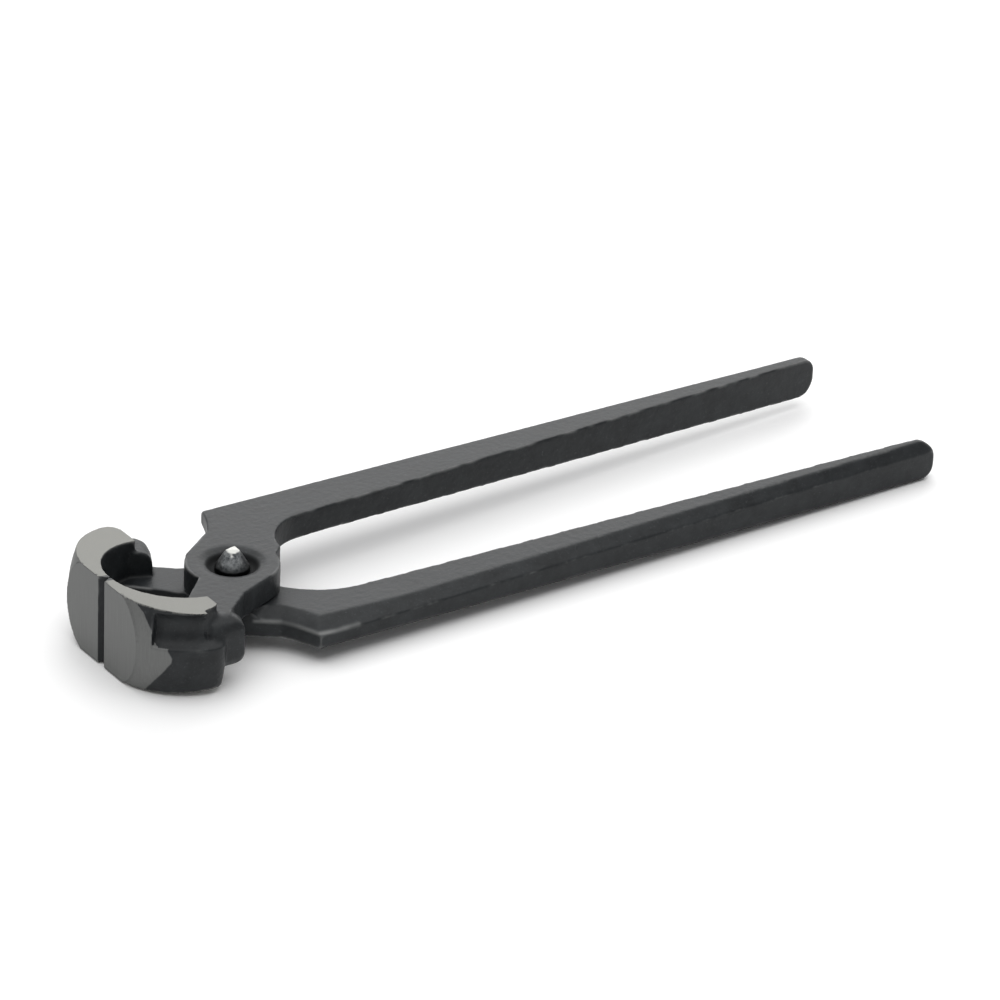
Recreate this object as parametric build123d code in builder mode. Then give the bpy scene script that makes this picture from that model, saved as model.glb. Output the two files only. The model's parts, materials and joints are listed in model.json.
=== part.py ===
from build123d import *
import os
from math import cos, radians, sin, sqrt

# End-cutting fencing pincers: two drop forgings, one turned over on the other, lapped at
# the boss and held by one rivet that is hammered into a dish on each side.
# Frame: X from the jaws to the handle ends, Y across the handles, Z along the rivet.
# The origin is under the middle of the tool, level with the lower corners of the jaws.
# All sizes are millimetres. Points in plan are measured from the rivet axis.

# Overall
overall_length = 250.0      # ground jaw faces to handle ends
jaw_reach = 38.8            # rivet axis to ground jaw faces
jaw_height = 24.6           # length of the cutting edges
half_thickness = 7.3        # middle of the lap to the flat of boss and handle
lap_clearance = 0.3         # between the two halves, across the lap
jaw_gap = 0.3               # between the closed cutting edges

# Jaws
face_flat = 7.0             # half width of the flat part of the ground faces, at their ends
jaw_radius = 20.5           # flank, at its upper and lower ends
flank_bulge = 2.2           # barrel of the flank at mid height
jaw_depth = 20.5            # ground faces to the rear ends of the crescents
crescent_drop = 2.2         # fall of each crescent from front to rear
edge_wall = 2.6             # ground face to the throat wall at the cutting edge
throat_radius = 17.6
groove_half = 1.5           # half mouth of the vee in front of the cutting edges
groove_depth = 2.2
jaw_corner = 3.6            # rear outer corner of the jaw
curl_front = -23.7           # the curl starts here along the crescent
curl_centre = (-25.6, -13.2)
curl_radius = 11.8          # rear end of the crescent on the boss side
hollow_base = 2.6           # middle of the lap to the ledge under the forged hollow
hollow_radius = 5.5
hollow_depth = 1.4          # below the rim of the crescent
hollow_rise = 4.1           # ledge to the middle of the hollow
hollow_start = 37.0         # degrees round the flank from the front
hollow_sweep = 60.0

# Arm from boss to jaw
lap_recess = 20.0           # swept by the other half
arm_half_height = 7.0
arm_back = 11.4             # rivet axis to the back of the shoulder, along X
arm_side = 27.4
arm_round = 4.0
arm_sunk = 4.0              # length of the shoulder that runs inside the jaw
shoulder_throat = (-14.6, -15.3)
shoulder_neck = (-12.4, -19.8)
shoulder_lean = 1.6         # outer corner of the shoulder, ahead of its back
arm_foot_x = 4.5            # outer side of the arm leaves the boss here
arm_foot_inset = 0.8        # and this far inside its rim
arm_waist = (-6.6, -16.3)
arm_heel = (-17.0, -25.0)
arm_toe = (-22.0, -24.0)
arm_throat_x = -26.0
arm_inner = ((-22.7, -13.5), (-18.6, -9.6), (-11.9, -3.0))

# Boss and rivet
boss_radius = 12.4
dish_depth = 2.4
dish_flare = 1.6            # floor of the dish to its rim, each side
dish_head_gap = 1.1         # rivet head to the foot of the dish wall
rivet_radius = 4.0
rivet_running_clearance = 0.06
rivet_end_clearance = 0.1
rivet_head_overhang = 0.7   # head past the shank, which holds the halves together
rivet_head_wall = 2.0       # upright edge of the head
rivet_crown_radius = 1.9    # hammered flat on top
rivet_head_height = 5.2

# Handles
grip_edge = 28.5            # tool axis to the outer edge of the handle flats
side_chamfer = 0.9          # flat to outer side
web_foot = (11.8, -2.0)     # handle side of the boss
gap_foot = (15.6, 1.5)      # where the gap between the handles begins
gap_curve = (19.6, 9.9)
gap_straight = 30.0         # rivet axis to where the handles become straight
gap_half = 14.5             # half the gap there
tip_inner = 25.6            # tool axis to the inner side at the handle ends
tip_drop = 4.3              # growth of the handle past the lap, at its end
taper_start = 38.0
ear_front = 8.5
ear_curve = (6.4, 23.5)
ear_root = (3.6, 18.4)
ear_neck = (-8.4, 9.6)
dressed_start = (10.8, -4.8)  # gap side of the lower half, ground back wider
dressed_curve = (16.8, -10.6)
dressed_run = 4.0
draft_shoulder = (5.4, 3.2)  # width and depth of the sloping outer side, at the ear
draft_tip = (2.0, 3.0)      # and at the handle end
tip_top_round = 4.0
tip_under_round = 5.5
draft_ahead = 4.0           # the sloping side starts this far ahead of the ear
cut_past = 1.0              # cuts run on this far past what they cut
corner_past = 0.2           # and corner cuts by this share of their own size

pivot_x = jaw_reach - overall_length / 2
mid_z = jaw_height / 2
lap = Plane(origin=(pivot_x, 0, mid_z))
profile = Plane(origin=(pivot_x, 0, mid_z), x_dir=(1, 0, 0), z_dir=(0, -1, 0))
tool_axis = Axis((0, 0, mid_z), (1, 0, 0))
rivet_axis = Axis((pivot_x, 0, 0), (0, 0, 1))
rivet_head_radius = rivet_radius + rivet_head_overhang
dish_floor_radius = rivet_head_radius + dish_head_gap
dish_radius = dish_floor_radius + dish_flare
tip_x = overall_length - jaw_reach
side_y = grip_edge + side_chamfer
lap_level = lap_clearance / 2
edge_y = -jaw_gap / 2
jaw_end = -jaw_reach + jaw_depth
flank_x = -jaw_reach + jaw_radius
flank_axis = Axis((pivot_x + flank_x, -face_flat, 0), (0, 0, 1))
flank_plane = Plane(
    origin=(pivot_x + flank_x, -face_flat, mid_z), x_dir=(-1, 0, 0), z_dir=(0, 1, 0)
)
hollow_angle = radians(hollow_start)
hollow_plane = Plane(
    origin=(pivot_x + flank_x, -face_flat, mid_z),
    x_dir=(-cos(hollow_angle), -sin(hollow_angle), 0),
    z_dir=(-sin(hollow_angle), cos(hollow_angle), 0),
)
wall_x = -jaw_reach + edge_wall
throat_x = wall_x + throat_radius
throat_mid_x = (wall_x + jaw_end) / 2
head_size = 2 * (jaw_radius + flank_bulge)


def throat_y(x):
    """Near side of the round throat at x."""
    return -sqrt(throat_radius**2 - (x - throat_x) ** 2)


# Jaw block: a barrel about the flank axis, cut flat in front, round the throat and at the rear
with BuildPart() as jaw:
    with BuildSketch(flank_plane):
        with BuildLine():
            Polyline((jaw_radius, mid_z), (0, mid_z), (0, -mid_z), (jaw_radius, -mid_z))
            ThreePointArc(
                (jaw_radius, -mid_z), (jaw_radius + flank_bulge, 0), (jaw_radius, mid_z)
            )
        make_face()
    revolve(axis=flank_axis)
    with BuildSketch(lap.offset(-mid_z)):
        with Locations((-jaw_reach + jaw_depth / 2, -face_flat / 2)):
            Rectangle(jaw_depth, face_flat)
    extrude(amount=jaw_height)
    with BuildSketch(lap.offset(-mid_z - cut_past)):
        with BuildLine():
            Polyline(
                (wall_x, edge_y),
                (-jaw_reach + groove_depth, edge_y),
                (-jaw_reach, edge_y - groove_half),
                (-jaw_reach, -head_size),
                (jaw_end, -head_size),
                (jaw_end, throat_y(jaw_end)),
            )
            ThreePointArc(
                (jaw_end, throat_y(jaw_end)),
                (throat_mid_x, throat_y(throat_mid_x)),
                (wall_x, edge_y),
            )
        make_face()
    extrude(amount=jaw_height + 2 * cut_past, mode=Mode.INTERSECT)
    rear_edges = jaw.edges().group_by(Axis.X)[-1]
    fillet(rear_edges.sort_by(Axis.Y)[0], jaw_corner)

    # Crescents fall towards the rear, above and below
    with BuildSketch(profile):
        for side in (1, -1):
            with BuildLine():
                Polyline(
                    (-jaw_reach, side * mid_z),
                    (0, side * (mid_z - crescent_drop * jaw_reach / jaw_depth)),
                    (0, side * jaw_height),
                    (-jaw_reach, side * jaw_height),
                    close=True,
                )
            make_face()
    extrude(amount=head_size, both=True, mode=Mode.SUBTRACT)

    # On the boss side the crescent curls in at its rear end
    with BuildSketch(lap.offset(hollow_base)):
        with Locations((curl_centre[0] + head_size / 2, curl_centre[1] - head_size / 2)):
            Rectangle(head_size, head_size)
        with Locations(curl_centre):
            Circle(curl_radius, mode=Mode.SUBTRACT)
        with Locations((curl_front - head_size / 2, -face_flat)):
            Rectangle(head_size, 3 * head_size, mode=Mode.SUBTRACT)
    extrude(amount=mid_z, mode=Mode.SUBTRACT)

    # Hollow along the flank, over a ledge
    with BuildSketch(hollow_plane):
        with Locations((jaw_radius + hollow_radius - hollow_depth, hollow_base + hollow_rise)):
            Circle(hollow_radius)
    revolve(axis=flank_axis, revolution_arc=hollow_sweep, mode=Mode.SUBTRACT)

# Rounded shoulder where the arm grows to the depth of the jaw
with BuildPart() as shoulder:
    with BuildSketch(lap.offset(-arm_half_height)):
        with BuildLine():
            Polyline(
                (jaw_end - arm_sunk, throat_y(jaw_end - arm_sunk) - cut_past),
                shoulder_throat,
                shoulder_neck,
                (-arm_back, -arm_side + arm_round),
                (-arm_back - shoulder_lean, -arm_side),
                (jaw_end - arm_sunk, -arm_side),
                close=True,
            )
        make_face()
    extrude(amount=2 * arm_half_height)
    flats = shoulder.faces().filter_by(Axis.Z)
    back_edges = flats.edges().filter_by(lambda e: e.center().X > pivot_x + jaw_end)
    fillet(back_edges, arm_round)

# One forging: jaw at -Y, handle at +Y, boss above the lap
with BuildPart() as forging:
    # Handle with its ear: plan, then side profile
    with BuildSketch(lap.offset(-tip_drop)):
        with BuildLine():
            Polyline((0, -boss_radius), web_foot, gap_foot)
            ThreePointArc(gap_foot, gap_curve, (gap_straight, gap_half))
            Polyline((gap_straight, gap_half), (tip_x, tip_inner), (tip_x, side_y), (ear_front, side_y))
            ThreePointArc((ear_front, side_y), ear_curve, ear_root)
            Polyline(ear_root, ear_neck, (0, -boss_radius))
        make_face()
    extrude(amount=tip_drop + half_thickness)
    with BuildSketch(profile) as side_profile:
        with BuildLine():
            Polyline(
                (-jaw_reach, lap_level),
                (taper_start, lap_level),
                (tip_x, -tip_drop),
                (tip_x, half_thickness),
                (-jaw_reach, half_thickness),
                close=True,
            )
        make_face()
        tip_corners = side_profile.vertices().group_by(Axis.X)[-1]
        fillet(tip_corners.sort_by(Axis.Y)[-1], tip_top_round)
        fillet(side_profile.vertices().group_by(Axis.X)[-1].sort_by(Axis.Y)[0], tip_under_round)
    extrude(amount=side_y + cut_past, both=True, mode=Mode.INTERSECT)
    outer_side = forging.faces().filter_by(Axis.Y).sort_by(Axis.Y)[-1]
    long_edges = outer_side.edges().filter_by(lambda e: e.length > overall_length / 2)
    chamfer(long_edges.sort_by(Axis.Z)[-1], side_chamfer)

    # Sloping outer side, wide at the ear and narrow at the handle end
    for x, level, (width, depth) in (
        (ear_front - draft_ahead, lap_level, draft_shoulder),
        (tip_x + cut_past, -tip_drop, draft_tip),
    ):
        with BuildSketch(Plane.YZ.offset(pivot_x + x)):
            with BuildLine():
                Polyline(
                    (side_y - width - corner_past * width, mid_z + level - corner_past * depth),
                    (side_y + corner_past * width, mid_z + level - corner_past * depth),
                    (side_y + corner_past * width, mid_z + level + depth + corner_past * depth),
                    close=True,
                )
            make_face()
    loft(mode=Mode.SUBTRACT)

    # Boss
    with BuildSketch(lap.offset(lap_level)):
        Circle(boss_radius)
    extrude(amount=half_thickness - lap_level)

    # Arm from the boss to the jaw
    with BuildSketch(lap.offset(lap_level)):
        with BuildLine():
            Polyline(
                (0, 0),
                (arm_foot_x, -boss_radius + arm_foot_inset),
                arm_waist,
                arm_heel,
                arm_toe,
                (arm_throat_x, throat_y(arm_throat_x) - cut_past),
                *arm_inner,
                close=True,
            )
        make_face()
    extrude(amount=half_thickness - lap_level)
    add(shoulder.part)
    with BuildSketch(lap.offset(-mid_z)):
        Circle(lap_recess)
    extrude(amount=mid_z + lap_level, mode=Mode.SUBTRACT)
    add(jaw.part)

    # Dish for the rivet head
    with BuildSketch(lap.offset(half_thickness)):
        Circle(dish_radius)
    with BuildSketch(lap.offset(half_thickness - dish_depth)):
        Circle(dish_floor_radius)
    loft(mode=Mode.SUBTRACT)

with BuildPart() as upper_half:
    add(forging.part)
    with BuildSketch(lap):
        Circle(rivet_radius)
    extrude(amount=half_thickness, mode=Mode.SUBTRACT)
upper_half.part.label = "upper_half"

with BuildPart() as lower_half:
    add(forging.part.rotate(tool_axis, 180))
    with BuildSketch(lap):
        Circle(rivet_radius + rivet_running_clearance)
    extrude(amount=-half_thickness, mode=Mode.SUBTRACT)
    # Its throat is dressed back wider beside the boss
    with BuildSketch(lap.offset(-half_thickness)):
        with BuildLine():
            ThreePointArc(dressed_start, dressed_curve, (gap_straight + dressed_run, -gap_half))
            Polyline(
                (gap_straight + dressed_run, -gap_half),
                (gap_straight, dressed_run),
                (dressed_start[0], dressed_run),
                dressed_start,
            )
        make_face()
    extrude(amount=2 * half_thickness, mode=Mode.SUBTRACT)
lower_half.part.label = "lower_half"

# Rivet: shank and two hammered heads, turned about its axis
seat = half_thickness - dish_depth
under_seat = -seat - rivet_end_clearance
with BuildPart() as rivet:
    with BuildSketch(profile):
        with BuildLine():
            Polyline(
                (0, seat + rivet_head_height),
                (rivet_crown_radius, seat + rivet_head_height),
                (rivet_head_radius, seat + rivet_head_wall),
                (rivet_head_radius, seat),
                (rivet_radius, seat),
                (rivet_radius, under_seat),
                (rivet_head_radius, under_seat),
                (rivet_head_radius, under_seat - rivet_head_wall),
                (rivet_crown_radius, under_seat - rivet_head_height),
                (0, under_seat - rivet_head_height),
                close=True,
            )
        make_face()
    revolve(axis=rivet_axis)
rivet.part.label = "rivet"

os.makedirs("parts", exist_ok=True)
for piece in (upper_half, lower_half, rivet):
    export_step(piece.part, f"parts/{piece.part.label}.step")
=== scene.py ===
"""End-cutting pincers: forged and ground pieces, and a plain studio, around the fixed model."""

import json
import math

import bmesh
import bpy
import numpy as np
from mathutils import Matrix, Vector, noise


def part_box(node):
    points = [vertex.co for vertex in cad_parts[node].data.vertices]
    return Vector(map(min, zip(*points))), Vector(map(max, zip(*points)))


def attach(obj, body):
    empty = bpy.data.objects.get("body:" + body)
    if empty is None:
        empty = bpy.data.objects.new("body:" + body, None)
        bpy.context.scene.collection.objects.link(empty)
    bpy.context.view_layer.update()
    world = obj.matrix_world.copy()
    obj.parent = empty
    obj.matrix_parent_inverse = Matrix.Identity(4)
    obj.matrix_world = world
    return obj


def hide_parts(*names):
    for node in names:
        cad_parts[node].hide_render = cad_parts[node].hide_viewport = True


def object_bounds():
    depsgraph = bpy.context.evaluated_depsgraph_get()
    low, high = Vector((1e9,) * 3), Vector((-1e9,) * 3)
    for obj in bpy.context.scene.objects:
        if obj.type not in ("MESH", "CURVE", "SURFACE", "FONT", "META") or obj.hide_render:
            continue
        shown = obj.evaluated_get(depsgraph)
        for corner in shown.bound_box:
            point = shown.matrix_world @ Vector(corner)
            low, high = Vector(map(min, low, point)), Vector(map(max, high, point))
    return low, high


bl_info = {
    "name": "End-cutting pincers",
    "version": (1, 0, 0),
    "blender": (4, 5, 0),
    "location": "3D View > Sidebar > Pincers",
    "description": "Forged end-cutting pincers with ground jaws and a hammered rivet",
    "category": "Object",
}

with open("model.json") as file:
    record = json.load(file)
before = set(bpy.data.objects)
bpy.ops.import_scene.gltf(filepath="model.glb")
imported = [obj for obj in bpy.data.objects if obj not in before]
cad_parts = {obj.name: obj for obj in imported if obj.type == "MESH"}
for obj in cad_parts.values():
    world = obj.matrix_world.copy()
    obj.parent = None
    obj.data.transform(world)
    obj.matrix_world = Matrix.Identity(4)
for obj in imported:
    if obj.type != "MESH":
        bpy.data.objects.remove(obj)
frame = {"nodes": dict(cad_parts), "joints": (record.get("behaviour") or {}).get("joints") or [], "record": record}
CAD_LOW, CAD_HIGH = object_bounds()
MM = 0.001
PIVOT = Vector(frame["joints"][0]["pos_m"])
MID_Z = PIVOT.z
FRONT_X = CAD_LOW.x
JAW_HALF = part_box("upper_half")[1].z - MID_Z
# The flat of the boss and handle, where the upper handle flat is stated
FLAT_Z = next(m["pos_m"][2] for m in frame["record"]["mounts"] if m["name"] == "upper_handle_flat")
HALF_THICKNESS = FLAT_Z - MID_Z


# --------------------------------------------------------------------------- settings


class ForgeSettings(bpy.types.PropertyGroup):
    """Sizes of the forged surface."""

    voxel: bpy.props.FloatProperty(
        name="Mesh pitch", description="Spacing of the surface mesh", default=0.30 * MM,
        unit="LENGTH", subtype="DISTANCE", precision=5,
    )
    rounding: bpy.props.IntProperty(
        name="Edge rounding", description="Smoothing passes that round the forged edges",
        default=5, min=0,
    )
    waviness: bpy.props.FloatProperty(
        name="Waviness", description="Height of the slow waves that the die leaves", default=0.05 * MM,
        unit="LENGTH", subtype="DISTANCE", precision=5,
    )
    pitting: bpy.props.FloatProperty(
        name="Scale pitting", description="Height of the marks that the scale leaves", default=0.035 * MM,
        unit="LENGTH", subtype="DISTANCE", precision=5,
    )
    hammering: bpy.props.FloatProperty(
        name="Hammer marks", description="Height of the marks on the rivet", default=0.10 * MM,
        unit="LENGTH", subtype="DISTANCE", precision=5,
    )


class FinishSettings(bpy.types.PropertyGroup):
    """Colours of the finishes, and of the painted shade and highlights, as sRGB hex."""

    scale_light: bpy.props.StringProperty(
        name="Scale, worn", description="Forge scale on worn places", default="26292B",
    )
    scale_dark: bpy.props.StringProperty(
        name="Scale, fresh", description="Forge scale in the hollows", default="121517",
    )
    # Colour of the lightened edges: partly worn scale, partly painted highlight
    rubbed_edge_and_highlight: bpy.props.StringProperty(
        name="Rubbed edge and highlight", description="Scale rubbed thin on an edge, plus painted highlight", default="9A9B9A",
    )
    speck: bpy.props.StringProperty(
        name="Specks", description="Specks of bare steel in the scale", default="7C8083",
    )
    # Painted shade: a near-black put in the hollows and the dish
    hollow_shade: bpy.props.StringProperty(
        name="Painted shade on scale", description="Painted shade in the hollows and the dish", default="0A0C0D",
    )
    ground: bpy.props.StringProperty(
        name="Ground steel", description="Belt-ground jaw fronts", default="7E7F7E",
    )
    # Ground steel made lighter than the fronts because the crescents face up: painted sheen
    crescent: bpy.props.StringProperty(
        name="Crescent steel with painted sheen", description="Ground crescents, lightened as painted sheen", default="8E8E8A",
    )
    # Shows only on the rivet's convex edges: partly worn steel, partly painted highlight
    rivet: bpy.props.StringProperty(
        name="Rivet steel", description="Hammered rivet heads", default="8C8D8D",
    )
    # Painted highlight on the up-facing top facets of the rivet
    rivet_top_highlight: bpy.props.StringProperty(
        name="Rivet top highlight", description="Painted highlight on the top facets of the rivet", default="B8B8B4",
    )
    rivet_clean: bpy.props.StringProperty(
        name="Rivet, clean", description="Sides of the rivet between the grime", default="707273",
    )
    rivet_grime: bpy.props.StringProperty(
        name="Rivet, grimy", description="Grime on the sides of the rivet", default="2A2D2F",
    )
    # Painted shade round the foot of the rivet head, low in the dish
    rivet_foot_shade: bpy.props.StringProperty(
        name="Painted shade at the rivet", description="Painted shade round the foot of the rivet head", default="0E1011",
    )
    floor: bpy.props.StringProperty(
        name="Floor", description="Pale floor", default="FAFAFA",
    )


# --------------------------------------------------------------------------- nodes and colours


def linear(code):
    """sRGB hex to a linear colour with alpha."""
    parts = [int(code[i : i + 2], 16) / 255 for i in (0, 2, 4)]
    return [c / 12.92 if c <= 0.04045 else ((c + 0.055) / 1.055) ** 2.4 for c in parts] + [1.0]


def add(tree, kind, links=None, stops=(), **settings):
    """One shader node: settings are its properties or input values, links its inputs' sources.

    stops are the (position, colour) pairs of a colour ramp.
    """
    node = tree.nodes.new(kind)
    for key, value in settings.items():
        if hasattr(node, key):
            setattr(node, key, value)
        else:
            node.inputs[key.replace("_", " ")].default_value = value
    for socket, source in (links or {}).items():
        tree.links.new(source, node.inputs[socket])
    for index, (position, colour) in enumerate(stops):
        element = node.color_ramp.elements[index]
        element.position, element.color = position, colour
    return node


def new_material(name):
    material = bpy.data.materials.new(name)
    material.use_nodes = True
    material.node_tree.nodes.clear()
    return material, material.node_tree


def grey(value):
    return (value, value, value, 1.0)


def pincer_steel(colours):
    """Drop-forged carbon steel under forge scale, belt-ground at the jaws.

    The scale is a thin dark oxide: blue-black, half-matt, lighter on edges, partly where it is rubbed
    and partly as painted highlight, and darkened in the hollows and the dish as painted shade. Where it
    is ground away, the steel is bright, with a fine grind along Z; the up-facing crescents get a lighter
    copy of it as painted sheen.
    """
    material, tree = new_material("forged_carbon_steel")
    place = add(tree, "ShaderNodeTexCoord").outputs["Object"]
    wear_and_highlight = add(tree, "ShaderNodeAttribute", attribute_name="edge_wear_and_highlight").outputs["Fac"]
    fronts = add(tree, "ShaderNodeAttribute", attribute_name="ground_front").outputs["Fac"]
    crescents = add(tree, "ShaderNodeAttribute", attribute_name="ground_crescent").outputs["Fac"]

    # Cloudy scale, patches about 5 mm, and specks about 0.7 mm
    clouds = add(tree, "ShaderNodeTexNoise", {"Vector": place}, Scale=200.0, Detail=5.0, Roughness=0.62)
    specks = add(tree, "ShaderNodeTexNoise", {"Vector": place}, Scale=1400.0, Detail=3.0, Roughness=0.7)
    # Flow lines along the drawn-out handles: 18 mm long, 1.2 mm apart
    drawn = add(tree, "ShaderNodeMapping", {"Vector": place}, Scale=(55.0, 820.0, 820.0))
    flow = add(tree, "ShaderNodeTexNoise", {"Vector": drawn.outputs["Vector"]}, Scale=1.0, Detail=3.0)

    scale = add(tree, "ShaderNodeValToRGB", {"Fac": clouds.outputs["Fac"]}, stops=(
        (0.30, linear(colours.scale_dark)), (0.72, linear(colours.scale_light))))
    # Painted highlight, partly worn scale: convex edges and the top of the shoulder's slope are lightened
    worn = add(tree, "ShaderNodeMixRGB", {"Fac": wear_and_highlight, "Color1": scale.outputs["Color"]},
               Color2=linear(colours.rubbed_edge_and_highlight))
    rubbed = add(tree, "ShaderNodeValToRGB", {"Fac": specks.outputs["Fac"]},
                 stops=((0.60, grey(0.0)), (0.78, grey(0.16))))
    specked = add(tree, "ShaderNodeMixRGB", {
        "Fac": rubbed.outputs["Color"], "Color1": worn.outputs["Color"]}, Color2=linear(colours.speck))

    # Ground steel: grind lines 0.25 mm apart, drawn coarse enough to show, running along Z
    lines = add(tree, "ShaderNodeMapping", {"Vector": place}, Scale=(4000.0, 4000.0, 90.0))
    grind = add(tree, "ShaderNodeTexNoise", {"Vector": lines.outputs["Vector"]}, Scale=1.0, Detail=2.0)
    streak = add(tree, "ShaderNodeValToRGB", {"Fac": grind.outputs["Fac"]},
                 stops=((0.3, grey(0.86)), (0.7, grey(1.0)))).outputs["Color"]
    front = add(tree, "ShaderNodeMixRGB", {"Color1": streak}, blend_type="MULTIPLY", Fac=1.0,
                Color2=linear(colours.ground))
    # The up-facing crescents get a lighter copy of the ground steel: painted sheen over the ground finish
    top = add(tree, "ShaderNodeMixRGB", {"Color1": streak}, blend_type="MULTIPLY", Fac=1.0,
              Color2=linear(colours.crescent))

    # Painted shade: the hollows and the dish are darkened towards a near-black
    hollow_shade = add(tree, "ShaderNodeAttribute", attribute_name="painted_shade").outputs["Fac"]
    painted_shade = add(tree, "ShaderNodeMixRGB", {"Fac": hollow_shade, "Color1": specked.outputs["Color"]},
                Color2=linear(colours.hollow_shade))
    with_front = add(tree, "ShaderNodeMixRGB", {
        "Fac": fronts, "Color1": painted_shade.outputs["Color"], "Color2": front.outputs["Color"]})
    colour = add(tree, "ShaderNodeMixRGB", {
        "Fac": crescents, "Color1": with_front.outputs["Color"], "Color2": top.outputs["Color"]})
    bare = add(tree, "ShaderNodeMath", {0: fronts, 1: crescents}, operation="MAXIMUM").outputs["Value"]

    rough_scale = add(tree, "ShaderNodeMapRange", {"Value": clouds.outputs["Fac"]},
                      To_Min=0.40, To_Max=0.52).outputs["Result"]
    rough_bare = add(tree, "ShaderNodeMapRange", {"Value": grind.outputs["Fac"]},
                     To_Min=0.60, To_Max=0.68).outputs["Result"]
    rough_dry = add(tree, "ShaderNodeMix", {"Factor": bare, "A": rough_scale, "B": rough_bare})
    # The same mask makes the dish and the hollows rougher, which dulls their sheen
    rough = add(tree, "ShaderNodeMix", {"Factor": hollow_shade, "A": rough_dry.outputs["Result"]}, B=0.85)
    pits = add(tree, "ShaderNodeMath", {0: specks.outputs["Fac"], 1: flow.outputs["Fac"]}, operation="ADD")
    relief = add(tree, "ShaderNodeMix", {"Factor": bare, "A": pits.outputs["Value"],
                                         "B": grind.outputs["Fac"]})
    bump = add(tree, "ShaderNodeBump", {"Height": relief.outputs["Result"]},
               Strength=0.35, Distance=0.10 * MM)
    # Oxide is not metallic to the eye; bare steel is
    shader = add(tree, "ShaderNodeBsdfPrincipled", {
        "Base Color": colour.outputs["Color"], "Roughness": rough.outputs["Result"],
        "Metallic": bare, "Normal": bump.outputs["Normal"]}, Specular_IOR_Level=0.3)
    add(tree, "ShaderNodeOutputMaterial", {"Surface": shader.outputs["BSDF"]})
    return material


def rivet_steel(colours):
    """Mild-steel rivet, hammered cold: dented, with painted highlight on the up-facing top facets and painted
    shade towards the foot of the head.
    """
    material, tree = new_material("hammered_mild_steel")
    place = add(tree, "ShaderNodeTexCoord").outputs["Object"]
    wear_and_highlight = add(tree, "ShaderNodeAttribute", attribute_name="edge_wear_and_highlight").outputs["Fac"]
    top_highlight = add(tree, "ShaderNodeAttribute", attribute_name="top_highlight").outputs["Fac"]
    # Grime in patches about 1.5 mm, dents about 0.5 mm
    grime = add(tree, "ShaderNodeTexNoise", {"Vector": place}, Scale=700.0, Detail=4.0, Roughness=0.65)
    dents = add(tree, "ShaderNodeTexNoise", {"Vector": place}, Scale=2000.0, Detail=2.0)
    body = add(tree, "ShaderNodeValToRGB", {"Fac": grime.outputs["Fac"]}, stops=(
        (0.35, linear(colours.rivet_grime)), (0.7, linear(colours.rivet_clean))))
    # Convex edges of the rivet lightened: partly worn steel, partly painted highlight
    lifted = add(tree, "ShaderNodeMixRGB", {"Fac": wear_and_highlight, "Color1": body.outputs["Color"]},
                 Color2=linear(colours.rivet))
    # Painted shade: the foot of the head, low in the dish, is darkened towards a near-black
    high_up = add(tree, "ShaderNodeAttribute", attribute_name="lifted").outputs["Fac"]
    painted_shade = add(tree, "ShaderNodeMixRGB", {"Fac": high_up, "Color2": lifted.outputs["Color"]},
                Color1=linear(colours.rivet_foot_shade))
    # Painted highlight: the up-facing top facets are lightened
    colour = add(tree, "ShaderNodeMixRGB", {"Fac": top_highlight, "Color1": painted_shade.outputs["Color"]},
                 Color2=linear(colours.rivet_top_highlight))
    rough = add(tree, "ShaderNodeMapRange", {"Value": grime.outputs["Fac"]}, To_Min=0.30, To_Max=0.50)
    bump = add(tree, "ShaderNodeBump", {"Height": dents.outputs["Fac"]}, Strength=0.4,
               Distance=0.12 * MM)
    shader = add(tree, "ShaderNodeBsdfPrincipled", {
        "Base Color": colour.outputs["Color"], "Roughness": rough.outputs["Result"],
        "Normal": bump.outputs["Normal"]}, Metallic=0.85)
    add(tree, "ShaderNodeOutputMaterial", {"Surface": shader.outputs["BSDF"]})
    return material


# --------------------------------------------------------------------------- mesh work


def coordinates(mesh):
    points = np.empty(len(mesh.vertices) * 3, np.float32)
    mesh.vertices.foreach_get("co", points)
    return points.reshape(-1, 3).astype(float)


def set_coordinates(mesh, points):
    mesh.vertices.foreach_set("co", points.astype(np.float32).ravel())
    mesh.update()


def normals(mesh):
    found = np.empty(len(mesh.vertices) * 3, np.float32)
    mesh.vertices.foreach_get("normal", found)
    return found.reshape(-1, 3).astype(float)


def neighbour_mean(mesh):
    """A function that gives each vertex the mean of its neighbours' values."""
    edges = np.empty(len(mesh.edges) * 2, np.int32)
    mesh.edges.foreach_get("vertices", edges)
    start, end = edges.reshape(-1, 2).T
    count = len(mesh.vertices)
    degree = np.bincount(start, minlength=count) + np.bincount(end, minlength=count)
    degree = np.maximum(degree, 1)

    def mean(values):
        columns = values.reshape(count, -1)
        total = np.stack([
            np.bincount(start, columns[:, i][end], count) + np.bincount(end, columns[:, i][start], count)
            for i in range(columns.shape[1])
        ], 1)
        return (total / degree[:, None]).reshape(values.shape)

    return mean


def smoothed(points, mean, passes, weight):
    for _ in range(passes):
        points = points + (weight * 0.5)[:, None] * (mean(points) - points)
    return points


def field(points, size, seed, octaves=1):
    """Seeded noise about 0, with features of that size in metres."""
    shift = Vector((seed * 7.13, seed * 3.71, seed * 5.37))
    return np.array([noise.fractal(Vector(p) / size + shift, 0.7, 2.0, octaves) for p in points])


def ease(low, high, values):
    t = np.clip((values - low) / (high - low), 0, 1)
    return t * t * (3 - 2 * t)


def store(mesh, name, values):
    attribute = mesh.attributes.new(name, "FLOAT", "POINT")
    attribute.data.foreach_set("value", values.astype(np.float32))


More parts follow.
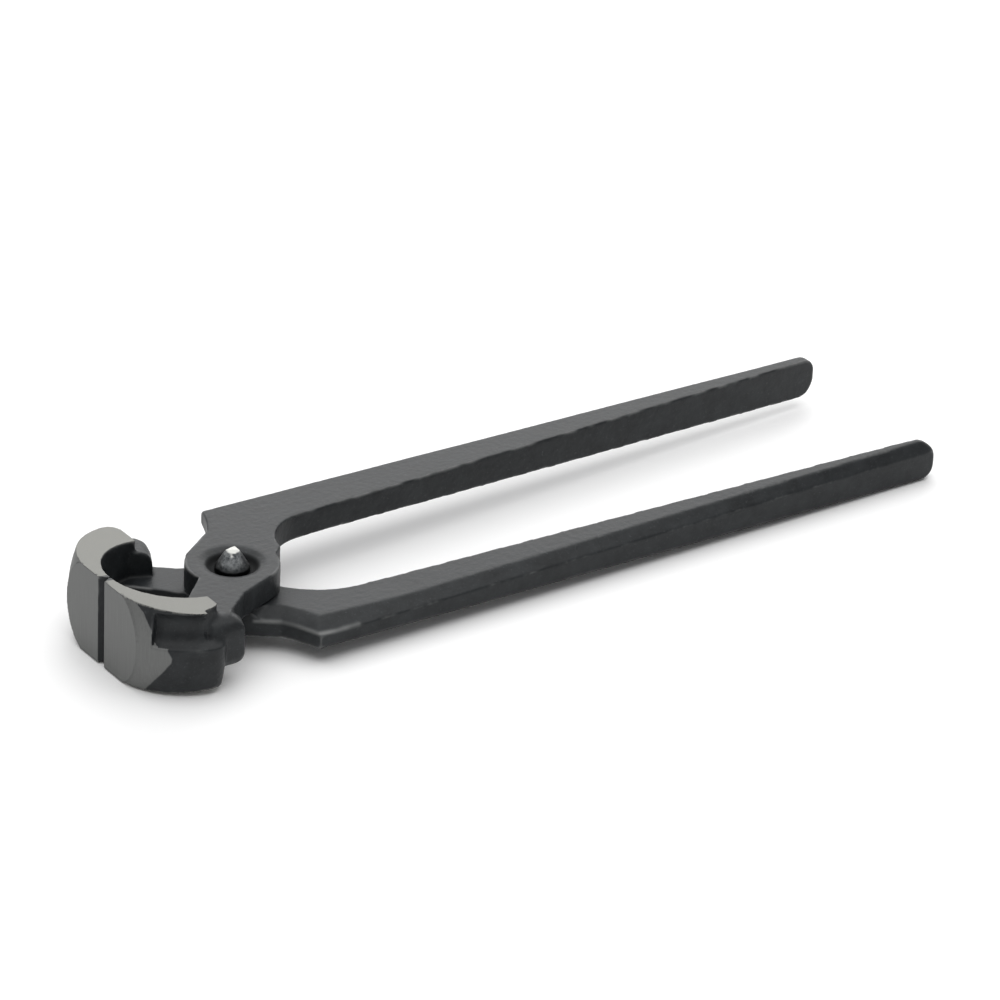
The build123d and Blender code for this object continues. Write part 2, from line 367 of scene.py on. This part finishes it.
def remeshed(name, source, pitch):
    """A closed, evenly meshed copy of a CAD node or mesh object."""
    piece = bpy.data.objects.new(name, source.data.copy())
    bpy.context.scene.collection.objects.link(piece)
    remesh = piece.modifiers.new("surface", "REMESH")
    remesh.mode = "VOXEL"
    remesh.voxel_size = pitch
    remesh.adaptivity = 0.0
    graph = bpy.context.evaluated_depsgraph_get()
    final = bpy.data.meshes.new_from_object(piece.evaluated_get(graph))
    piece.modifiers.clear()
    piece.data = final
    final.name = name
    final.attributes.active_color_index = -1
    return piece


def convexity(mesh, mean, passes):
    """How far each vertex stands out of its neighbourhood, in metres: edges +, hollows -."""
    points = coordinates(mesh)
    blurred = points
    for _ in range(passes):
        blurred = mean(blurred)
    return ((points - blurred) * normals(mesh)).sum(1)


# How far from the middle the fronts are ground, at each height over the middle plane, in mm
GROUND_BORDER = (
    (-12.3, 16.9), (-11.4, 17.7), (-7.0, 21.3), (-4.3, 23.1), (-2.1, 24.3), (-0.7, 24.5), (1.75, 23.6),
    (1.95, 21.7), (6.3, 20.1), (10.1, 17.4), (11.6, 15.2), (12.1, 12.2), (12.3, 11.0),
)


# Above the ledge the ground face ends where the hollow begins: mm from the rivet, at each height
LEDGE_HEIGHT = 1.7
HOLLOW_HEIGHTS = (1.9, 3.5, 6.3, 10.1, 12.3)
HOLLOW_STARTS = (-35.0, -35.3, -35.8, -36.4, -36.6)

# The crescents: how far back they are ground from the front, and how far they fall on the way
CRESCENT_RUN = 20.5 * MM
CRESCENT_FALL = 2.2 * MM
# Closer than this to a ground plane, a vertex is put on it
SNAP = 0.35 * MM
# Half the width of the groove between the cutting edges
GROOVE_HALF = 1.55 * MM


def crescent_level(x):
    """Height of the ground crescent over the middle plane, at x."""
    run = (x - FRONT_X) / CRESCENT_RUN
    return JAW_HALF - CRESCENT_FALL * run


# The line, in mm from the rivet's axis, where the shoulder's sloping edge meets its side
SHOULDER_LINE = (
    (-1.8, 14.5), (0.4, 16.1), (3.2, 18.1), (6.0, 22.7), (8.2, 28.3), (13.5, 29.2), (20.0, 29.0),
)
# The slope along it, in mm: its height over the lap at the foot, its depth, and how far in it runs
SLOPE_FOOT, SLOPE_DEPTH, SLOPE_RUN = 0.15, 2.9, 4.4
# The dish's soft lip, in mm: its depth, and the radii between which it fades
LIP_DEPTH, LIP_INNER, LIP_OUTER = 0.8, 6.6, 9.8


def distance_to_line(points, line):
    """Shortest distance from each flat point to a line of runs."""
    line = np.array(line)
    nearest = np.full(len(points), np.inf)
    for start, end in zip(line[:-1], line[1:]):
        run = end - start
        share = np.clip((points - start) @ run / (run @ run), 0, 1)
        nearest = np.minimum(nearest, np.linalg.norm(points - (start + share[:, None] * run), axis=1))
    return nearest


def rough_forge(mesh, facing):
    """Shapes left by the dies: a wide slope round the shoulder, and a soft lip to the dish."""
    points = coordinates(mesh)
    height = (points[:, 2] - MID_Z) * facing / MM
    flat = (points[:, :2] - np.array(PIVOT)[:2]) / MM
    # The shoulder stands on the side away from the jaw: y over 0 on the upper half
    flat[:, 1] *= facing
    away = distance_to_line(flat, SHOULDER_LINE)
    # Deepest at the side, and fading where the shoulder ends
    fade = ease(-4.0, 0.5, flat[:, 0]) * (1 - ease(12.0, 20.0, flat[:, 0]))
    slope = SLOPE_FOOT + SLOPE_DEPTH * np.clip(1 - away / SLOPE_RUN, 0, 1) ** 1.3 * fade
    # Only where it slopes: the lap and the handles stay as they are
    outside = (slope > 0.2) & (height > -0.5) & (height < slope) & (flat[:, 1] > 13.0)
    height = np.where(outside, slope, height)
    radius = np.linalg.norm(flat, axis=1)
    lip = HALF_THICKNESS / MM - LIP_DEPTH * (1 - ease(LIP_INNER, LIP_OUTER, radius)) ** 1.5
    height = np.where((height > lip) & (radius < LIP_OUTER), lip, height)
    points[:, 2] = MID_Z + height * facing * MM
    set_coordinates(mesh, points)


def forge_half(name, facing, settings, material):
    """One half: the CAD form with rounded forged edges, die waves and scale, and ground jaws.

    facing is +1 for the upper half and -1 for the lower, which is the same forging turned over.
    """
    blank = remeshed(name + "_blank", frame["nodes"][name], settings.voxel)
    rough_forge(blank.data, facing)
    piece = remeshed(name + "_forging", blank, settings.voxel)
    bpy.data.objects.remove(blank)
    mesh = piece.data
    mean = neighbour_mean(mesh)
    points = coordinates(mesh)

    x, side, height = points[:, 0], np.abs(points[:, 1]), (points[:, 2] - MID_Z) * facing
    from_front = x - FRONT_X
    in_jaw = 1 - ease(CRESCENT_RUN, 22.0 * MM, from_front)
    to_crescent = crescent_level(x) - np.abs(height)
    # Ground and fitted faces stay true: jaw fronts, crescents, cutting edges, lap and rivet hole
    around_pin = np.hypot(points[:, 0] - PIVOT.x, points[:, 1] - PIVOT.y)
    lapped = (1 - ease(0.5 * MM, 1.0 * MM, np.abs(height))) * (1 - ease(20.5 * MM, 22 * MM, around_pin))
    true_faces = np.maximum.reduce([
        1 - ease(0.5 * MM, 1.2 * MM, from_front),
        in_jaw * (1 - ease(0.5 * MM, 1.2 * MM, to_crescent)),
        in_jaw * (1 - ease(0.8 * MM, 1.6 * MM, side)),
        lapped,
        1 - ease(4.6 * MM, 5.2 * MM, around_pin),
    ])
    rough = 1 - true_faces
    points = smoothed(points, mean, settings.rounding, 0.25 + 0.75 * rough)
    # The hollow under the rim fades out to the rear instead of ending in a wall
    blend = ease(-25.5 * MM, -23.0 * MM, x - PIVOT.x) * (1 - ease(-18.0 * MM, -15.0 * MM, x - PIVOT.x))
    blend = blend * (side > 22 * MM) * ease(1.5 * MM, 3.0 * MM, height)
    blend = blend * (1 - ease(8.0 * MM, 10.0 * MM, height))
    points = smoothed(points, mean, 60, blend)
    points[:, 0] = np.where(from_front < SNAP, FRONT_X, points[:, 0])
    on_crescent = (in_jaw > 0.5) & (to_crescent < SNAP)
    level = MID_Z + np.sign(points[:, 2] - MID_Z) * crescent_level(points[:, 0])
    points[:, 2] = np.where(on_crescent, level, points[:, 2])
    set_coordinates(mesh, points)

    outward = normals(mesh)
    waves = field(points, 20 * MM, 1) * settings.waviness
    marks = field(points, 1.6 * MM, 2, 2) * settings.pitting
    points = points + outward * ((waves + marks) * rough)[:, None]
    points = np.clip(points, np.array(CAD_LOW), np.array(CAD_HIGH))
    set_coordinates(mesh, points)

    # The fronts are ground round on to the flank, past the flat: furthest at mid height,
    # less above and below, with a step where the flank's hollow begins
    h_mm = (points[:, 2] - MID_Z) * facing / MM
    border = np.interp(h_mm, *np.array(GROUND_BORDER).T)
    hollow_x = np.interp(h_mm, HOLLOW_HEIGHTS, HOLLOW_STARTS)
    before_hollow = (h_mm < LEDGE_HEIGHT) | ((points[:, 0] - PIVOT.x) / MM < hollow_x)
    ragged = field(points, 3 * MM, 3) * 0.15
    inside = ease(-0.15, 0.15, border + ragged - np.abs(points[:, 1]) / MM)
    ahead = 1 - ease(6.6 * MM, 7.0 * MM, points[:, 0] - FRONT_X)
    outer_side = ease(0.0, 0.25, -outward[:, 0] + 0.25 * np.sign(points[:, 1]) * outward[:, 1])
    throat = (points[:, 0] - FRONT_X > 2.0 * MM) & (outward[:, 0] > -0.05)
    groove = (np.abs(points[:, 1]) < GROOVE_HALF) & (points[:, 0] - FRONT_X < 3 * MM)
    front = inside * ahead * outer_side * before_hollow * ~throat * ~groove
    store(mesh, "ground_front", front)
    to_rear = 1 - ease(22.0 * MM, 23.0 * MM, points[:, 0] - FRONT_X)
    crescent = to_rear * ease(0.68, 0.82, np.abs(outward[:, 2])) * (
        1 - ease(0.45 * MM, 0.8 * MM, crescent_level(points[:, 0]) - np.abs(points[:, 2] - MID_Z)))
    store(mesh, "ground_crescent", crescent * ~groove)

    stands_out = convexity(mesh, mean, 12)
    patchy = ease(-0.25, 0.45, field(points, 7 * MM, 4, 2))
    flat = (points[:, :2] - np.array(PIVOT)[:2]) / MM * np.array([1, facing])
    # A lighter band follows the top of the shoulder's slope: painted highlight along that edge, partly rubbed
    # scale
    rubbed = 1 - ease(0.1, 1.2, distance_to_line(flat, SHOULDER_LINE))
    rubbed = rubbed * (1 - ease(0.0, 0.9, np.abs(h_mm - SLOPE_DEPTH)))
    rubbed = rubbed * (0.55 + 0.45 * ease(-0.5, 0.5, field(points, 4.0 * MM, 6)))
    # Convex edges are lightened in patches: partly worn scale, partly painted highlight
    edges = ease(0.06 * MM, 0.22 * MM, stands_out) * patchy
    store(mesh, "edge_wear_and_highlight", np.maximum(edges * 0.3, rubbed * 0.45))
    # Painted shade: the dish and the hollows are darkened
    in_dish = (1 - ease(6.3, 7.6, np.linalg.norm(flat, axis=1))) * ease(3.5, 4.5, h_mm)
    store(mesh, "painted_shade", np.maximum(in_dish, ease(0.05 * MM, 0.25 * MM, -stands_out) * 0.6))
    mesh.materials.clear()
    mesh.materials.append(material)
    mesh.shade_smooth()
    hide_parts(name)
    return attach(piece, next(
        b for b, held in frame["record"]["behaviour"]["bodies"].items() if name in held))


def hull_object(name, rings):
    """A closed hull round points, as an object to remesh."""
    shape = bmesh.new()
    for point in rings:
        shape.verts.new(point)
    found = bmesh.ops.convex_hull(shape, input=shape.verts)
    inner = [v for v in found["geom_interior"] if isinstance(v, bmesh.types.BMVert)]
    bmesh.ops.delete(shape, geom=inner, context="VERTS")
    mesh = bpy.data.meshes.new(name)
    shape.to_mesh(mesh)
    shape.free()
    piece = bpy.data.objects.new(name, mesh)
    bpy.context.scene.collection.objects.link(piece)
    return piece


def ring(radius, height, count=48):
    turns = np.linspace(0, 2 * math.pi, count, endpoint=False)
    return [Vector((PIVOT.x + radius * math.cos(t), PIVOT.y + radius * math.sin(t), height)) for t in turns]


def forge_rivet(settings, material):
    """The rivet: a shank and two heads, each hammered from four sides to a small slanted crown."""
    low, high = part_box("rivet")
    head = (high.x - low.x) / 2
    # Foot of each head from the middle plane, its side, and how much that narrows on the way up
    seat, wall, taper = 4.9 * MM, 2.0 * MM, 0.97
    # Under the head that turns over the other half, and how far the shank runs into the heads
    turning_gap, bury = 0.1 * MM, 0.5 * MM
    pitch = 0.2 * MM
    # Corners of the crown, from the rivet's axis and down from its top, in mm: struck off centre
    crown = ((-0.9, 2.0, 0.0), (2.3, 2.7, 0.0), (2.1, -0.1, 0.0), (-0.7, -0.7, 1.1))
    shank = 4.0 * MM
    ends = ring(shank, MID_Z - seat - bury) + ring(shank, MID_Z + seat + bury)
    parts = [hull_object("shank", ends)]
    for facing, top in ((1, high.z), (-1, low.z)):
        base = MID_Z + facing * seat
        if facing < 0:
            base -= turning_gap
        rim = ring(head, base) + ring(head * taper, base + facing * (wall * 0.6))
        corners = [
            Vector((PIVOT.x + cx * MM, PIVOT.y + facing * cy * MM, top - facing * drop * MM))
            for cx, cy, drop in crown
        ]
        parts.append(hull_object("head", rim + corners))
    union = bmesh.new()
    for part in parts:
        union.from_mesh(part.data)
    mesh = bpy.data.meshes.new("rivet_form")
    union.to_mesh(mesh)
    union.free()
    for part in parts:
        bpy.data.objects.remove(part)
    form = bpy.data.objects.new("rivet_form", mesh)
    bpy.context.scene.collection.objects.link(form)
    piece = remeshed("rivet_hammered", form, pitch)
    bpy.data.objects.remove(form)

    mesh = piece.data
    mean = neighbour_mean(mesh)
    points = coordinates(mesh)
    out_of_dish = ease(seat, seat + 0.8 * MM, np.abs(points[:, 2] - MID_Z))
    points = smoothed(points, mean, 4, 0.2 + 0.8 * out_of_dish)
    set_coordinates(mesh, points)
    outward = normals(mesh)
    dents = field(points, 1.7 * MM, 5, 2) * settings.hammering
    points = points + outward * (dents * out_of_dish)[:, None]
    points[:, 2] = np.clip(points[:, 2], low.z, high.z)
    set_coordinates(mesh, points)
    up = np.abs(normals(mesh)[:, 2])
    height = np.abs(points[:, 2] - MID_Z)
    # Mask for the painted highlight on the up-facing facets at the top of the crown
    store(mesh, "top_highlight", ease(0.80, 0.92, up) * ease(seat + 3.4 * MM, seat + 4.0 * MM, height))
    # Mask for the painted shade round the foot: 0 low in the dish, 1 higher up
    store(mesh, "lifted", ease(seat + 1.0 * MM, seat + 3.0 * MM, height))
    # Convex edges are lightened: partly worn steel, partly painted highlight
    store(mesh, "edge_wear_and_highlight", ease(0.01 * MM, 0.06 * MM, convexity(mesh, mean, 4)) * 0.8)
    mesh.materials.clear()
    mesh.materials.append(material)
    mesh.shade_smooth()
    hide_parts("rivet")
    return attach(piece, next(
        b for b, held in frame["record"]["behaviour"]["bodies"].items() if "rivet" in held))


# --------------------------------------------------------------------------- stage


def studio_camera():
    """Three-quarter view from the jaw end, with a long lens."""
    turn, rise, roll = (math.radians(a) for a in (36.1, 26.3, 2.9))
    back = Vector((-math.sin(turn) * math.cos(rise), -math.cos(turn) * math.cos(rise), math.sin(rise)))
    right = Vector((math.cos(turn), -math.sin(turn), 0))
    up = back.cross(right)
    tilted_right = right * math.cos(roll) + up * math.sin(roll)
    tilted_up = up * math.cos(roll) - right * math.sin(roll)
    distance, across, above = 1.1503, 0.06896, 0.0223
    place = PIVOT + back * distance + tilted_right * across + tilted_up * above
    camera = bpy.data.objects.new("camera", bpy.data.cameras.new("camera"))
    bpy.context.scene.collection.objects.link(camera)
    camera.matrix_world = Matrix((
        (tilted_right.x, tilted_up.x, back.x, place.x),
        (tilted_right.y, tilted_up.y, back.y, place.y),
        (tilted_right.z, tilted_up.z, back.z, place.z),
        (0, 0, 0, 1),
    ))
    camera.data.sensor_width = 36
    camera.data.lens = 161
    camera.data.clip_end = 20
    bpy.context.scene.camera = camera


def soft_light(name, place, size, watts):
    light = bpy.data.objects.new(name, bpy.data.lights.new(name, "AREA"))
    light.data.shape = "RECTANGLE"
    light.data.size, light.data.size_y = size
    light.data.energy = watts
    light.location = place
    light.rotation_euler = (-Vector(place)).to_track_quat("-Z", "Y").to_euler()
    bpy.context.scene.collection.objects.link(light)


# --------------------------------------------------------------------------- operators


class PINCERS_OT_halves(bpy.types.Operator):
    """Make the two forged halves"""

    bl_idname = "pincers.halves"
    bl_label = "Forge the halves"

    def execute(self, context):
        material = pincer_steel(context.scene.pincer_finish)
        for name, facing in (("upper_half", 1), ("lower_half", -1)):
            forge_half(name, facing, context.scene.pincer_forge, material)
        return {"FINISHED"}


class PINCERS_OT_rivet(bpy.types.Operator):
    """Make the hammered rivet"""

    bl_idname = "pincers.rivet"
    bl_label = "Hammer the rivet"

    def execute(self, context):
        forge_rivet(context.scene.pincer_forge, rivet_steel(context.scene.pincer_finish))
        return {"FINISHED"}


class PINCERS_OT_stage(bpy.types.Operator):
    """Set up the floor, the lights and the camera"""

    bl_idname = "pincers.stage"
    bl_label = "Set the stage"

    def execute(self, context):
        # The tool lies on the lower corners of its jaws and the end of the lower handle,
        # which is 5 mm higher, so the floor leans to meet both
        lean = math.atan2(5.0, 238.0)
        reach = 3.0
        centre = Vector((-0.118, 0, -0.0002))
        floor_mesh = bpy.data.meshes.new("floor")
        corners = [(sx * reach, sy * reach, 0) for sx, sy in ((-1, -1), (1, -1), (1, 1), (-1, 1))]
        floor_mesh.from_pydata(corners, [], [(0, 1, 2, 3)])
        floor = bpy.data.objects.new("floor", floor_mesh)
        context.scene.collection.objects.link(floor)
        floor.location = centre
        floor.rotation_euler = (0, -lean, 0)
        # Matt board: pale and even, without gloss, so that the dark tool and its shadow stand out
        material, tree = new_material("pale_matt_board")
        shader = add(tree, "ShaderNodeBsdfPrincipled", Roughness=0.9,
                     Base_Color=linear(context.scene.pincer_finish.floor))
        add(tree, "ShaderNodeOutputMaterial", {"Surface": shader.outputs["BSDF"]})
        floor_mesh.materials.append(material)

        # One broad light overhead, and one behind that puts a sheen on the upper faces
        soft_light("overhead", (0.0, 0.1, 1.3), (2.2, 2.2), 23)
        soft_light("behind", (0.75, 1.05, 0.62), (1.5, 0.7), 8)
        world = bpy.data.worlds.new("studio")
        world.use_nodes = True
        world.node_tree.nodes["Background"].inputs["Color"].default_value = linear("FFFFFF")
        world.node_tree.nodes["Background"].inputs["Strength"].default_value = 0.42
        context.scene.world = world
        context.scene.view_settings.view_transform = "Standard"
        studio_camera()
        return {"FINISHED"}


class PINCERS_PT_panel(bpy.types.Panel):
    """Pincers"""

    bl_label = "Pincers"
    bl_idname = "PINCERS_PT_panel"
    bl_space_type = "VIEW_3D"
    bl_region_type = "UI"
    bl_category = "Pincers"

    def draw(self, context):
        for operator in OPERATORS:
            self.layout.operator(operator.bl_idname)
        for settings in (context.scene.pincer_forge, context.scene.pincer_finish):
            for name in settings.__annotations__:
                self.layout.prop(settings, name)


OPERATORS = (PINCERS_OT_halves, PINCERS_OT_rivet, PINCERS_OT_stage)
CLASSES = (ForgeSettings, FinishSettings, *OPERATORS, PINCERS_PT_panel)


def register():
    for cls in CLASSES:
        bpy.utils.register_class(cls)
    bpy.types.Scene.pincer_forge = bpy.props.PointerProperty(type=ForgeSettings)
    bpy.types.Scene.pincer_finish = bpy.props.PointerProperty(type=FinishSettings)


def unregister():
    del bpy.types.Scene.pincer_finish
    del bpy.types.Scene.pincer_forge
    for cls in reversed(CLASSES):
        bpy.utils.unregister_class(cls)


def main():
    register()
    bpy.ops.pincers.halves()
    bpy.ops.pincers.rivet()
    bpy.ops.pincers.stage()


if __name__ == "__main__":
    main()
